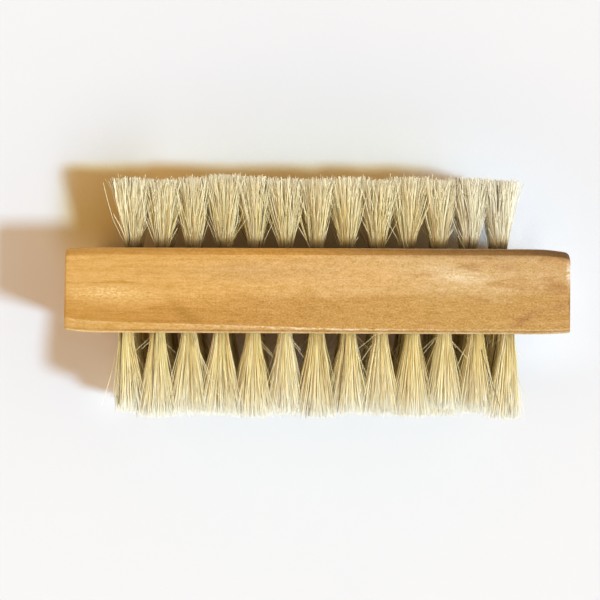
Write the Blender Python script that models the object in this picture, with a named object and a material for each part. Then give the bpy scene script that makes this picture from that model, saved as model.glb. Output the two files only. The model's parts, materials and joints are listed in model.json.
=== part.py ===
"""Two-sided wooden vegetable brush, lying on one of its long sides.

X runs along the block. Y runs through it, from the wide bristle side at -Y to the narrow one at +Y.
Z is up, from the long side that the brush lies on. The origin is the middle of that side.
Sizes are in metres.
"""

import math
from collections import namedtuple

import bmesh
import bpy
from mathutils import Matrix, Vector

# Wood block
BLOCK_LENGTH = 0.095
BLOCK_THICKNESS = 0.016
BLOCK_WIDTH = 0.040
EDGE_ROUND = 0.0013
EDGE_STEPS = 3
END_FALL = 0.0008
END_FALL_LENGTH = 0.0075
END_FALL_STEPS = 3

# Tufts: how many there are, and how far the outer ones stand in from the block's ends and sides
TUFTS_PER_ROW = 13
WIDE_ROW_COUNT = 5
NARROW_ROW_COUNT = 2
END_MARGIN = 0.0109
SIDE_MARGIN = 0.006

# Bristles, from the block's face. Each tuft spreads up to its shoulder and stands straight from there
WIDE_BRISTLE_LENGTH = 0.0152
WIDE_SHOULDER_HEIGHT = 0.0073
NARROW_BRISTLE_LENGTH = 0.0144
NARROW_SHOULDER_HEIGHT = 0.0052
SHOULDER_GAP = 0.0009
TIP_GAP = 0.00045
RAGGED_CUT = 0.0005

# A strand stands for a bunch of bristles
STRAND_SIDES = 3
STRAND_ROOT_RADIUS = 0.00042
STRAND_SHOULDER_RADIUS = 0.0010
STRAND_TIP_RADIUS = 0.0012
STRAND_SUNK = 0.0005
STRAND_INSET = 0.00006  # from the rim of the tuft's root to the strands

# Drilled holes, and the anchor that pins each tuft's folded root at the bottom of its hole
HOLE_RADIUS = 0.0016
HOLE_DEPTH = 0.0065
HOLE_SIDES = 12
ANCHOR_THICKNESS = 0.00035
ANCHOR_HEIGHT = 0.0014
ANCHOR_BITE = 0.0004
FOLD_HEIGHT = 0.0012

# Slices of the wide face, one to a row, that the strands of the row are fused to
SLICE_MARGIN = 0.0005
SLICE_THICKNESS = 0.0012

CLEARANCE = 0.0003
OVERSHOOT = 0.002  # how far a cutter runs past the face that it cuts
SHARP_ANGLE = math.radians(35)
CORNER_ANGLE = math.radians(60)  # an edge that turns more than this is rounded

TUFT_PITCH = (BLOCK_LENGTH - 2 * END_MARGIN) / (TUFTS_PER_ROW - 1)
ROW_PITCH = (BLOCK_WIDTH - 2 * SIDE_MARGIN) / (WIDE_ROW_COUNT - 1)
HALF_THICKNESS = BLOCK_THICKNESS / 2
ROOT_RADIUS = HOLE_RADIUS - CLEARANCE
SLICE_HALF_WIDTH = HOLE_RADIUS + SLICE_MARGIN
SLICE_HALF_LENGTH = BLOCK_LENGTH / 2 - END_MARGIN + SLICE_HALF_WIDTH

# Corner strands of a tuft, with how much of RAGGED_CUT each one loses
CORNERS = (((1, 1), 1.0), ((-1, 1), 0.35), ((-1, -1), 0.75), ((1, -1), 0.15))
DIAGONAL = math.cos(math.radians(45))

# From a bristle face's own axes, x along the block and z out of the face, to the brush's axes
OUT_OF_NARROW_FACE = Matrix.Rotation(math.radians(-90), 4, "X")
OUT_OF_WIDE_FACE = Matrix.Rotation(math.radians(90), 4, "X")
HALF_TURN = Matrix.Rotation(math.pi, 4, "Z")

Ring = namedtuple("Ring", "height radius x y")


def clear_scene():
    for obj in list(bpy.data.objects):
        bpy.data.objects.remove(obj)


def make_material(name, colour, roughness, metallic=0.0):
    material = bpy.data.materials.new(name)
    material.use_nodes = True
    shader = material.node_tree.nodes["Principled BSDF"]
    shader.inputs["Base Color"].default_value = (*colour, 1.0)
    shader.inputs["Roughness"].default_value = roughness
    shader.inputs["Metallic"].default_value = metallic
    material.diffuse_color = (*colour, 1.0)
    return material


def mesh_from(bm, name):
    """A mesh of the bmesh, smooth where it is round and sharp at its true edges."""
    bmesh.ops.recalc_face_normals(bm, faces=bm.faces)
    mesh = bpy.data.meshes.new(name)
    bm.to_mesh(mesh)
    bm.free()
    mesh.shade_smooth()
    mesh.set_sharp_from_angle(angle=SHARP_ANGLE)
    return mesh


def add_object(name, mesh, place=Matrix.Identity(4)):
    obj = bpy.data.objects.new(name, mesh)
    obj.matrix_world = place
    bpy.context.scene.collection.objects.link(obj)
    return obj


def add_helper(name, bm):
    """A shape that only cuts or joins another one."""
    obj = add_object(name, mesh_from(bm, name))
    obj.hide_render = True
    obj.display_type = "WIRE"
    return obj


def combine(obj, operation, helper):
    modifier = obj.modifiers.new(helper.name, "BOOLEAN")
    modifier.operation = operation
    modifier.solver = "EXACT"
    modifier.object = helper


def finished_mesh(obj, name):
    """The object's mesh with its modifiers done, which copies can share. The object goes."""
    bpy.context.view_layer.update()
    graph = bpy.context.evaluated_depsgraph_get()
    mesh = bpy.data.meshes.new_from_object(obj.evaluated_get(graph))
    mesh.name = name
    for used in [modifier.object for modifier in obj.modifiers] + [obj]:
        bpy.data.objects.remove(used)
    return mesh


def add_box(bm, low, high, place=Matrix.Identity(4)):
    low, high = Vector(low), Vector(high)
    box = Matrix.LocRotScale((low + high) / 2, None, high - low)
    bmesh.ops.create_cube(bm, size=1.0, matrix=place @ box)


def add_cylinder(bm, radius, bottom, top, place=Matrix.Identity(4)):
    middle = Matrix.Translation((0, 0, (bottom + top) / 2))
    bmesh.ops.create_cone(
        bm,
        cap_ends=True,
        segments=HOLE_SIDES,
        radius1=radius,
        radius2=radius,
        depth=top - bottom,
        matrix=place @ middle,
    )


def spread(count, pitch):
    """Places of count things at this pitch, with 0 in their middle."""
    return [(number - (count - 1) / 2) * pitch for number in range(count)]


def row_heights(rows):
    """Each row's height above the side that the brush lies on, from the top row down."""
    return [BLOCK_WIDTH / 2 - offset for offset in spread(rows, ROW_PITCH)]


def on_face(out_of_face, x, z):
    """Where a thing stands on a bristle face, with its own z axis pointing out of it."""
    out = out_of_face @ Vector((0, 0, 1))
    return Matrix.Translation((x, out.y * HALF_THICKNESS, z)) @ out_of_face


def narrow_tuft_places():
    """(row, number, place) of each tuft of the narrow side, with both counts from 1."""
    for row, z in enumerate(row_heights(NARROW_ROW_COUNT), start=1):
        for number, x in enumerate(spread(TUFTS_PER_ROW, TUFT_PITCH), start=1):
            yield row, number, on_face(OUT_OF_NARROW_FACE, x, z)


def block_outline():
    """The block seen from above: its bristle faces fall away a little towards the ends."""
    half_length = BLOCK_LENGTH / 2
    steps = [step / END_FALL_STEPS for step in range(END_FALL_STEPS + 1)]
    right = [
        (half_length - END_FALL_LENGTH * (1 - t), HALF_THICKNESS - END_FALL * t * t)
        for t in steps
    ]
    narrow_face = right[::-1] + [(-x, y) for x, y in right]
    wide_face = [(x, -y) for x, y in reversed(narrow_face)]
    return narrow_face + wide_face


def add_anchor(bm, room=0.0, place=Matrix.Identity(4)):
    """An anchor across the bottom of its hole, or the space it takes with this room round it."""
    bottom = -HOLE_DEPTH + CLEARANCE + FOLD_HEIGHT + CLEARANCE
    half_thickness = ANCHOR_THICKNESS / 2 + room
    half_length = HOLE_RADIUS + ANCHOR_BITE + room
    low = (-half_thickness, -half_length, bottom - room)
    high = (half_thickness, half_length, bottom + ANCHOR_HEIGHT + room)
    add_box(bm, low, high, place)


def hole_cutter():
    bm = bmesh.new()
    for _, _, place in narrow_tuft_places():
        add_cylinder(bm, HOLE_RADIUS, -HOLE_DEPTH, OVERSHOOT, place)
    return add_helper("hole_cutter", bm)


def anchor_pocket_cutter():
    """Pockets in the holes' walls, where the ends of the anchors bite into the wood."""
    bm = bmesh.new()
    for _, _, place in narrow_tuft_places():
        add_anchor(bm, CLEARANCE, place)
    return add_helper("anchor_pocket_cutter", bm)


def groove_cutter():
    """Grooves in the wide face that take the slices."""
    bm = bmesh.new()
    half_length = SLICE_HALF_LENGTH + CLEARANCE
    half_width = SLICE_HALF_WIDTH + CLEARANCE
    for z in row_heights(WIDE_ROW_COUNT):
        low = (-half_length, -half_width, -SLICE_THICKNESS - CLEARANCE)
        high = (half_length, half_width, OVERSHOOT)
        add_box(bm, low, high, on_face(OUT_OF_WIDE_FACE, 0, z))
    return add_helper("groove_cutter", bm)


def make_wood_block(wood):
    bm = bmesh.new()
    outline = bm.faces.new([bm.verts.new((x, y, 0)) for x, y in block_outline()])
    grown = bmesh.ops.extrude_face_region(bm, geom=[outline])["geom"]
    top = [item for item in grown if isinstance(item, bmesh.types.BMVert)]
    bmesh.ops.translate(bm, verts=top, vec=(0, 0, BLOCK_WIDTH))
    block = add_object("wood_block", mesh_from(bm, "wood_block"))
    block.data.materials.append(wood)
    rounding = block.modifiers.new("rounded_edges", "BEVEL")
    rounding.width = EDGE_ROUND
    rounding.segments = EDGE_STEPS
    rounding.limit_method = "ANGLE"
    rounding.angle_limit = CORNER_ANGLE
    combine(block, "DIFFERENCE", hole_cutter())
    combine(block, "DIFFERENCE", anchor_pocket_cutter())
    combine(block, "DIFFERENCE", groove_cutter())


def corner_ring(height, radius, gap):
    """A corner strand's ring at a height where this gap parts its tuft from the next one."""
    inset = gap / 2 + radius * DIAGONAL
    return Ring(height, radius, TUFT_PITCH / 2 - inset, ROW_PITCH / 2 - inset)


def tuft_strands(length, shoulder_height):
    """The rings, root to tip, of a tuft's strands: one upright in the middle, four fanned out."""
    root_reach = (ROOT_RADIUS - STRAND_INSET - STRAND_ROOT_RADIUS) * DIAGONAL
    rings = (
        Ring(-STRAND_SUNK, STRAND_ROOT_RADIUS, root_reach, root_reach),
        corner_ring(shoulder_height, STRAND_SHOULDER_RADIUS, SHOULDER_GAP),
        corner_ring(length, STRAND_TIP_RADIUS, TIP_GAP),
    )
    strands = [[ring._replace(x=0, y=0) for ring in rings]]
    for (side_x, side_y), lost in CORNERS:
        strand = [ring._replace(x=side_x * ring.x, y=side_y * ring.y) for ring in rings]
        strand[-1] = strand[-1]._replace(height=length - lost * RAGGED_CUT)
        strands.append(strand)
    return strands


def add_strand(bm, rings, place):
    """A strand through its rings. One corner of its section points away from the tuft's middle."""
    root = rings[0]
    first_corner = math.radians(90)  # where create_circle puts its first point
    turn = Matrix.Rotation(math.atan2(root.y, root.x) - first_corner, 4, "Z")
    made = bmesh.ops.create_circle(
        bm,
        cap_ends=True,
        segments=STRAND_SIDES,
        radius=root.radius,
        matrix=place @ Matrix.Translation((root.x, root.y, root.height)) @ turn,
    )
    end = made["verts"][0].link_faces[0]
    for low, high in zip(rings, rings[1:]):
        grown = bmesh.ops.extrude_face_region(bm, geom=[end, *end.edges])["geom"]
        end = next(item for item in grown if isinstance(item, bmesh.types.BMFace))
        below = place @ Matrix.Translation((low.x, low.y, low.height))
        above = place @ Matrix.Translation((high.x, high.y, high.height))
        widen = Matrix.Scale(high.radius / low.radius, 4)
        bmesh.ops.transform(bm, verts=end.verts, matrix=above @ widen @ below.inverted())


def narrow_tuft_mesh():
    """A tuft of the narrow side: its root, folded round the anchor, and its strands."""
    bm = bmesh.new()
    add_cylinder(bm, ROOT_RADIUS, CLEARANCE - HOLE_DEPTH, 0)
    tuft = add_object("tuft_root", mesh_from(bm, "tuft_root"))
    slot = bmesh.new()
    add_anchor(slot, CLEARANCE)
    combine(tuft, "DIFFERENCE", add_helper("slot_cutter", slot))
    strands = bmesh.new()
    for rings in tuft_strands(NARROW_BRISTLE_LENGTH, NARROW_SHOULDER_HEIGHT):
        add_strand(strands, rings, Matrix.Identity(4))
    combine(tuft, "UNION", add_helper("tuft_strands", strands))
    return finished_mesh(tuft, "narrow_tuft")


def wide_row_mesh():
    """A row of the wide side: its slice of the face, with the strands of all its tufts."""
    bm = bmesh.new()
    low = (-SLICE_HALF_LENGTH, -SLICE_HALF_WIDTH, -SLICE_THICKNESS)
    high = (SLICE_HALF_LENGTH, SLICE_HALF_WIDTH, 0)
    add_box(bm, low, high)
    row = add_object("row_slice", mesh_from(bm, "row_slice"))
    strands = bmesh.new()
    for number, x in enumerate(spread(TUFTS_PER_ROW, TUFT_PITCH)):
        place = Matrix.Translation((x, 0, 0))
        turned = place @ HALF_TURN if number % 2 else place
        for rings in tuft_strands(WIDE_BRISTLE_LENGTH, WIDE_SHOULDER_HEIGHT):
            add_strand(strands, rings, turned)
    combine(row, "UNION", add_helper("row_strands", strands))
    return finished_mesh(row, "wide_row")


def make_narrow_side(bristle):
    """Tufts in two rows. Every other one is turned round, so that the cut ends differ."""
    mesh = narrow_tuft_mesh()
    mesh.materials.append(bristle)
    for row, number, place in narrow_tuft_places():
        turned = place @ HALF_TURN if (row + number) % 2 else place
        add_object(f"narrow_tuft_{row}_{number:02d}", mesh, turned)


def make_anchors(wire):
    bm = bmesh.new()
    add_anchor(bm)
    mesh = mesh_from(bm, "anchor")
    mesh.materials.append(wire)
    for row, number, place in narrow_tuft_places():
        add_object(f"anchor_{row}_{number:02d}", mesh, place)


def make_wide_side(bristle):
    """Five rows. Every other one is turned round, so that the cut ends differ."""
    mesh = wide_row_mesh()
    mesh.materials.append(bristle)
    for row, z in enumerate(row_heights(WIDE_ROW_COUNT), start=1):
        place = on_face(OUT_OF_WIDE_FACE, 0, z)
        turned = place if row % 2 else place @ HALF_TURN
        add_object(f"wide_tuft_row_{row}", mesh, turned)


def main():
    clear_scene()
    bristle = make_material("bristle", (0.75, 0.60, 0.32), 0.55)
    make_wood_block(make_material("oiled_wood", (0.68, 0.37, 0.13), 0.45))
    make_narrow_side(bristle)
    make_anchors(make_material("anchor_wire", (0.70, 0.70, 0.68), 0.35, metallic=1.0))
    make_wide_side(bristle)


main()
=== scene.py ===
"""A two-sided wooden vegetable brush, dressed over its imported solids.

The brush lies on a long side of its block and is seen from straight above. Everything is in
metres, in the frame of the solids: X runs along the block, Y through it, from the wide bristle
side at -Y to the narrow one at +Y, and Z is up.
"""

import json
import math

import bmesh
import bpy
import numpy as np
from bpy.props import FloatProperty, FloatVectorProperty, IntProperty, PointerProperty
from bpy.types import Operator, Panel, PropertyGroup
from mathutils import Matrix, Vector

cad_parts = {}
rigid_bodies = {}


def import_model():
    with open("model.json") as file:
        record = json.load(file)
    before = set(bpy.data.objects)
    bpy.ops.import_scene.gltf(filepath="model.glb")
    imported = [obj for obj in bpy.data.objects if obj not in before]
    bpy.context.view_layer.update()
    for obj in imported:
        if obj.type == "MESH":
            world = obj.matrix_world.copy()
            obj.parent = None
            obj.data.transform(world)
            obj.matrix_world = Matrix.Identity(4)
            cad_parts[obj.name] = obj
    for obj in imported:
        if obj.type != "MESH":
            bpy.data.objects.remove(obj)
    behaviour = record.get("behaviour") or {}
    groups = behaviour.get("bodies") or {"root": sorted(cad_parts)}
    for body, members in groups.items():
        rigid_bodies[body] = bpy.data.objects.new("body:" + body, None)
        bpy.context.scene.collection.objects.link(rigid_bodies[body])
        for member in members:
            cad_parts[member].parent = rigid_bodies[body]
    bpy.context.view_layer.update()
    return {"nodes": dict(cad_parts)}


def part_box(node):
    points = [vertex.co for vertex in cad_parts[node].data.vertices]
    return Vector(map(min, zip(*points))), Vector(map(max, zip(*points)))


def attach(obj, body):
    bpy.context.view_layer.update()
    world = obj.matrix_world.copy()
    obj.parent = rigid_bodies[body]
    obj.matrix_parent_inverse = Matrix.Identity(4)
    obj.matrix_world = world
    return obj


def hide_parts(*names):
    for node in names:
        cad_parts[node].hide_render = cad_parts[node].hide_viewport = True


bl_info = {
    "name": "Vegetable Brush",
    "version": (1, 0, 0),
    "blender": (4, 5, 0),
    "location": "3D View > Sidebar > Brush",
    "description": "A two-sided wooden vegetable brush with tufts of natural bristle",
    "category": "Object",
}

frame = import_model()

BODY = "root"
BLOCK_NODE = "wood_block"
BLOCK_LOW, BLOCK_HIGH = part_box(BLOCK_NODE)
BLOCK_LENGTH, BLOCK_THICKNESS, BLOCK_WIDTH = (high - low for low, high in zip(BLOCK_LOW, BLOCK_HIGH))
WIDE_ROW_NODES = sorted(name for name in frame["nodes"] if name.startswith("wide_tuft_row_"))
NARROW_TUFT_NODES = sorted(name for name in frame["nodes"] if name.startswith("narrow_tuft_"))
ANCHOR_NODES = sorted(name for name in frame["nodes"] if name.startswith("anchor_"))

# What the solids hold but don't say in words
HOLE_RADIUS = 0.0016
HOLE_DEPTH = 0.0065
HOLE_SIDES = 20
OVERSHOOT = 0.002  # how far a cutter runs past the face that it cuts

NEAR_EDGE_REACH = 0.545  # how much of the block's length the near edge takes to narrow
NEAR_EDGE_DEPTH = 0.5  # its depth, as a share of its width
NEAR_EDGE_ROUNDER = 0.6  # how much of its flatness it loses up to the block's right end

STRAND_MAP = "OFBake"  # name of the strands' UV map: u is a strand's tone, v runs from root to tip
DARK_TONE = 0.08  # strands whose tone is below this are the dark ones
TONE_WIDTH = 0.012  # how much of the map's width one strand takes up
MAP_MARGIN = 0.01  # how much of the map's height stays empty at its bottom and top
STRAND_TURN = 2.4  # radians from one strand's corners to the next one's, so that they all differ
SMALLEST_EDGE = 0.0003  # what is left of an edge's width where the block's end rounds it away
SHARP_EDGE = math.radians(17)  # steeper creases of the block than this stay sharp
FLOOR_GAP = 0.00002  # how far the floor lies under the block


def middle_of(node):
    low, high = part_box(node)
    return (low + high) / 2


def narrow_rows():
    """The nodes of each narrow row, left to right, the upper row first."""
    rows = {}
    for node in NARROW_TUFT_NODES:
        rows.setdefault(node.rsplit("_", 1)[0], []).append(node)
    return [rows[key] for key in sorted(rows)]


TUFT_PLACES = [middle_of(node).x for node in narrow_rows()[0]]
TUFT_PITCH = TUFT_PLACES[1] - TUFT_PLACES[0]
WIDE_HEIGHTS = [middle_of(node).z for node in WIDE_ROW_NODES]
NARROW_HEIGHTS = [middle_of(row[0]).z for row in narrow_rows()]
WIDE_LENGTH = BLOCK_LOW.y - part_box(WIDE_ROW_NODES[0])[0].y
NARROW_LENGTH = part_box(NARROW_TUFT_NODES[0])[1].y - BLOCK_HIGH.y


# Shader arithmetic


class Value:
    """A shader socket that takes part in Python arithmetic. Each operation adds its Math node."""

    def __init__(self, socket):
        self.socket = socket
        self.tree = socket.id_data

    def math(self, operation, *values):
        node = self.tree.nodes.new("ShaderNodeMath")
        node.operation = operation
        for slot, value in zip(node.inputs, values):
            feed(slot, value)
        return Value(node.outputs[0])

    def __add__(self, other):
        return self.math("ADD", self, other)

    __radd__ = __add__

    def __sub__(self, other):
        return self.math("SUBTRACT", self, other)

    def __rsub__(self, other):
        return self.math("SUBTRACT", other, self)

    def __mul__(self, other):
        return self.math("MULTIPLY", self, other)

    __rmul__ = __mul__

    def __truediv__(self, other):
        return self.math("DIVIDE", self, other)

    def __abs__(self):
        return self.math("ABSOLUTE", self)

    def root(self):
        return self.math("SQRT", self)

    def fraction(self):
        return self.math("FRACT", self)


def feed(slot, value):
    """Links a shader value to a socket, or sets the socket to a plain number or colour."""
    if isinstance(value, Value):
        slot.id_data.links.new(value.socket, slot)
    elif hasattr(slot.default_value, "__len__") and len(slot.default_value) == 4:
        slot.default_value = (*value[:3], 1.0)
    else:
        slot.default_value = value


class Nodes:
    """A node tree being built."""

    def __init__(self, tree):
        self.tree = tree

    def node(self, kind, settings=None, inputs=None, output=0):
        """A new node's output, after its settings and then its sockets are set."""
        node = self.tree.nodes.new(kind)
        for key, value in (settings or {}).items():
            setattr(node, key, value)
        for key, value in (inputs or {}).items():
            feed(node.inputs[key], value)
        return Value(node.outputs[output])

    def split(self, vector):
        return [self.node("ShaderNodeSeparateXYZ", inputs={0: vector}, output=i) for i in range(3)]

    def stretched(self, vector, scale, offset=(0, 0, 0)):
        inputs = {"Vector": vector, "Scale": scale, "Location": offset}
        return self.node("ShaderNodeMapping", inputs=inputs)

    def noise(self, vector, scale=1.0, detail=3.0, roughness=0.55, distortion=0.0):
        inputs = {"Vector": vector, "Scale": scale, "Detail": detail}
        inputs.update({"Roughness": roughness, "Distortion": distortion})
        return self.node("ShaderNodeTexNoise", inputs=inputs)

    def fade(self, value, start, end, low=0.0, high=1.0, how="SMOOTHSTEP"):
        """Goes from low to high as the value goes from start to end, smoothly unless told how."""
        inputs = {"Value": value, "From Min": start, "From Max": end, "To Min": low, "To Max": high}
        return self.node("ShaderNodeMapRange", {"interpolation_type": how}, inputs)

    def climb(self, value, *limits):
        """The same, but evenly."""
        return self.fade(value, *limits, how="LINEAR")

    def inside(self, value, left, right):
        """One between two fades, each given as where it begins and where it is full."""
        return self.fade(value, *left) * self.fade(value, *right)

    def near(self, distance, reach):
        """One where the distance is nothing, falling smoothly to zero at its reach to either side."""
        return self.fade(abs(distance), reach, 0.0)

    def blend(self, factor, under, over, how="MIX"):
        """Lays one colour over another."""
        settings = {"data_type": "RGBA", "blend_type": how}
        return self.node("ShaderNodeMix", settings, {0: factor, 6: under, 7: over}, output=2)

    def layers(self, colour, *layers):
        """Lays colours over one another, each given as (factor, colour)."""
        for factor, over in layers:
            colour = self.blend(factor, colour, over)
        return colour

    def ramp(self, value, stops):
        """The colour at a value, between stops that are given as (position, colour)."""
        colour = self.node("ShaderNodeValToRGB", inputs={0: value})
        elements = colour.socket.node.color_ramp.elements
        while len(elements) < len(stops):
            elements.new(0.5)
        for element, (position, stop) in zip(elements, stops):
            element.position = position
            element.color = (*stop, 1.0)
        return colour

    def bump(self, height, strength, distance):
        inputs = {"Height": height, "Strength": strength, "Distance": distance}
        return self.node("ShaderNodeBump", inputs=inputs)


class Finish(Nodes):
    """A material being built. Its keywords are the shader's constants."""

    def __init__(self, name, **constants):
        self.material = bpy.data.materials.new(name)
        self.material.use_nodes = True
        super().__init__(self.material.node_tree)
        self.surface(**constants)

    def surface(self, **inputs):
        """Sets or links the shader's sockets, and returns the material."""
        shader = self.tree.nodes["Principled BSDF"]
        for key, value in inputs.items():
            feed(shader.inputs[key.replace("_", " ")], value)
        return self.material


# Finishes

# Patches on the block's upper side: middle, reach, rise and strength, in millimetres. The first stain
# lies round the knot.
STAINS = (
    ((-24.5, -4.8), (3.8, 1.9), -0.4, 0.3),
    ((32.0, 5.2), (16.0, 2.4), 0.0, 0.20),
    ((29.0, 4.6), (2.6, 0.9), 0.0, 0.45),
    ((35.5, 4.4), (3.2, 1.1), -0.1, 0.6),
    ((44.8, 0.8), (3.4, 1.9), -0.2, 0.8),
    ((39.2, -4.9), (4.2, 1.5), 0.55, 0.95),
    ((45.6, -2.7), (3.2, 1.3), 0.2, 0.7),
)
KNOT = ((-24.5, -4.8), (4.0, 2.0), -0.45, 1.0)
LIGHT_PATCH = ((26.5, 3.0), (9.0, 2.4), -0.15, 1.0)
DULL_PATCH = ((-10.0, 3.8), (24.0, 3.5), 0.0, 0.28)
FIGURE = ((-39.0, -0.57), (11.5, 2.4), -0.03, 0.7)

# The block in millimetres: half its length and thickness, the heights where the marks of its upper
# side and of its far edge fade in, and its rings' width and middle, which is (y, z) in the tree
HALF_LENGTH = 1000 * BLOCK_HIGH.x
HALF_THICKNESS = 1000 * BLOCK_HIGH.y
TOP = (37.4, 39.0)
FAR_EDGE_TOP = (37.0, 38.2)
RING_WIDTH = 1.9
RING_MIDDLE = (-34, 66)

# The painted highlights and painted shade along the near edge, in millimetres towards +Y: middle
# and reach, or how the rim fades in
PALE_LINE = (-0.16, 0.33)  # from the edge's inner side
PAINTED_SHADE_LINE = (0.46, 0.34)  # from its outer side
RIM = (0.36, 0.22)  # from its outer side


def oiled_wood(settings):
    """Oiled beech with fine grain along the block: honey at its left end, paler at its right."""
    wood = Finish("oiled_wood", Specular_IOR_Level=0.25)
    mm = wood.stretched(wood.node("ShaderNodeTexCoord", output="Object"), (1000, 1000, 1000))
    x, y, _ = wood.split(mm)
    wander = grain(wood, mm, 0.05, 0.12) - 0.5
    ripple = grain(wood, mm, 0.10, 0.35, (4, 1, 6)) - 0.5
    clouds = grain(wood, mm, 0.14, 0.42, (7, 3, 1), detail=5.0, roughness=0.6)
    broken = grain(wood, mm, 1.5, 2.8, (1, 2, 7), detail=4.0, roughness=0.7)

    drift = wood.fade(x + wander * 45, -22, 30)
    near_half = wood.fade(y + ripple * 7 - 0.03 * x, 0.6, -3.4)
    uneven = wood.fade(clouds, 0.25, 0.65, 0.65, 1.25)
    stains = sum(patch(wood, x, y, *stain) for stain in STAINS)
    colour = wood.layers(
        wood.blend(drift, settings.honey, settings.pale),
        (near_half, wood.blend(drift, settings.shade, settings.shade_right)),
        (wood.fade(clouds, 0.50, 0.70) * wood.fade(x, 0, 36, 0.15, 0.75), settings.smudge),
        (wood.near(x + 10, 26) * near_half * 0.28, settings.smudge),
        (patch(wood, x, y, *DULL_PATCH), settings.dull),
        (stains * uneven, settings.stain),
        (patch(wood, x, y, *KNOT) * uneven, settings.knot),
        (patch(wood, x, y, *LIGHT_PATCH) * wood.fade(clouds, 0.7, 0.3, 0.2, 0.6), settings.bare),
        (wood.fade(x + ripple * 20, 33, 46) * 0.35, settings.smudge),
        (patch(wood, x, y, *FIGURE) * wood.fade(broken, 0.44, 0.58), settings.streak),
    )
    colour = near_edge(wood, colour, settings, mm)
    colour = far_edge(wood, colour, settings, mm, wander, ripple)
    colour = worn_ends(wood, colour, settings, mm)

    darkness, relief = rings_and_fibres(wood, mm, wander)
    tint = {0: 1 - 0.8 * darkness, 1: 1 - darkness, 2: 1 - 2.1 * darkness}
    colour = wood.blend(1.0, colour, wood.node("ShaderNodeCombineXYZ", inputs=tint), "MULTIPLY")
    roughness = 0.45 + 0.4 * darkness + 0.10 * ripple
    return wood.surface(Base_Color=colour, Roughness=roughness, Normal=wood.bump(relief, 0.5, 0.00015))


def grain(wood, mm, along, across, offset=(0, 0, 0), **noise):
    """Noise drawn out along the block. along and across say how fine it is that way."""
    return wood.noise(wood.stretched(mm, (along, across, across), offset), **noise)


def patch(wood, x, y, middle, reach, rise, strength):
    """A patch's strength at its middle, falling to zero at its reach. It rises to the right."""
    across = x - middle[0]
    return wood.near(across, reach[0]) * wood.near(y - middle[1] - rise * across, reach[1]) * strength


def in_mm(*sizes):
    return [1000 * size for size in sizes]


def fall(wood, settings, x, left, right):
    """How far a bristle face falls away towards the block's ends, in millimetres."""
    reach = 1000 * settings.fall_length
    at_left = wood.climb(x, reach - HALF_LENGTH, -HALF_LENGTH)
    at_right = wood.climb(x, HALF_LENGTH - reach, HALF_LENGTH)
    return at_left * at_left * left + at_right * at_right * right


def near_edge(wood, colour, settings, mm):
    """The planed edge by the wide side: mottled wood, painted highlights as a broken pale line and as a
    rim, and a dark line of painted shade between them.
    """
    x, y, z = wood.split(mm)
    top = wood.fade(z, *TOP)
    _, left, _, right = in_mm(*settings.corner_falls)
    outer = fall(wood, settings, x, left, right) - HALF_THICKNESS
    narrowed = HALF_LENGTH * (2 * NEAR_EDGE_REACH - 1)
    inner = outer + wood.climb(x, -HALF_LENGTH, narrowed, *in_mm(*settings.near_edge))
    crumbs = grain(wood, mm, 0.9, 2.6, (3, 9, 2), detail=5.0, roughness=0.7)
    planed = wood.fade(y - inner, 0.08, -0.08) * wood.fade(x, -40, -20, 0.65, 0.45)
    line = wood.near(y - inner - PALE_LINE[0], PALE_LINE[1]) * wood.fade(crumbs, 0.42, 0.56)
    line = line * wood.fade(x, 27, 8, 0.08, 1.0) * wood.fade(x, -30, 0, 0.4, 1.0)
    seam = wood.near(y - outer - PAINTED_SHADE_LINE[0], PAINTED_SHADE_LINE[1]) * wood.fade(x, -47, -25, 0.5, 1.0)
    rim = wood.fade(y - outer, *RIM)
    bare = wood.blend(wood.fade(x, -35, -8), settings.bare_left, settings.bare)
    mottled = wood.layers(
        settings.honey,
        (wood.fade(x, -30, 20), settings.pale),
        (wood.fade(crumbs, 0.34, 0.60) * 0.45, bare),
    )
    return wood.layers(
        colour,
        (planed * top, mottled),
        # The broken pale line is a painted highlight.
        (line * top * 0.7, bare),
        # A dark line of painted shade, where the edge rounds over.
        (seam * top * 0.85, settings.seam),
        # The rim is a painted highlight.
        (rim * top * 0.65, wood.blend(wood.fade(x, -38, -25), settings.bare_left, settings.rim)),
    )


def far_edge(wood, colour, settings, mm, wander, ripple):
    """The edge by the narrow side: dark with oil and painted shade, more so at the right, with a thin
    pale rim.
    """
    x, y, z = wood.split(mm)
    top = wood.fade(z, *FAR_EDGE_TOP)
    left, _, right, _ = in_mm(*settings.corner_falls)
    beyond = y - (HALF_THICKNESS - fall(wood, settings, x, left, right))
    width = wood.climb(x, -HALF_LENGTH, HALF_LENGTH, *in_mm(*settings.far_edge))
    oiled = wood.fade(beyond + width, -0.30, 0.15) * top
    soaked = wood.fade(beyond + width + ripple * 0.8, -1.2, 0.2) * wood.fade(x, -5, 35, 0.1, 0.5) * top
    deeper = wood.climb(beyond, -1.2, -0.1, 0.7, 1.25) * wood.fade(x, -44, 20, 0.45, 0.92)
    rim = wood.near(beyond + 0.03, 0.10) * top * wood.fade(x, -10, 15, 0.0, 0.45)
    # Oil at the left, and towards the right painted shade where the edge turns away from the light
    oil_and_shade = wood.blend(wood.fade(x + wander * 20, -15, 38), settings.edge, settings.edge_right)
    return wood.layers(
        colour,
        (soaked, oil_and_shade),
        (oiled * deeper, oil_and_shade),
        # Oil and painted shade at the far right corner
        (oiled * wood.fade(x, 36, 46, 0.0, 0.6), settings.burnt),
        (rim, settings.bare),
    )


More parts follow.
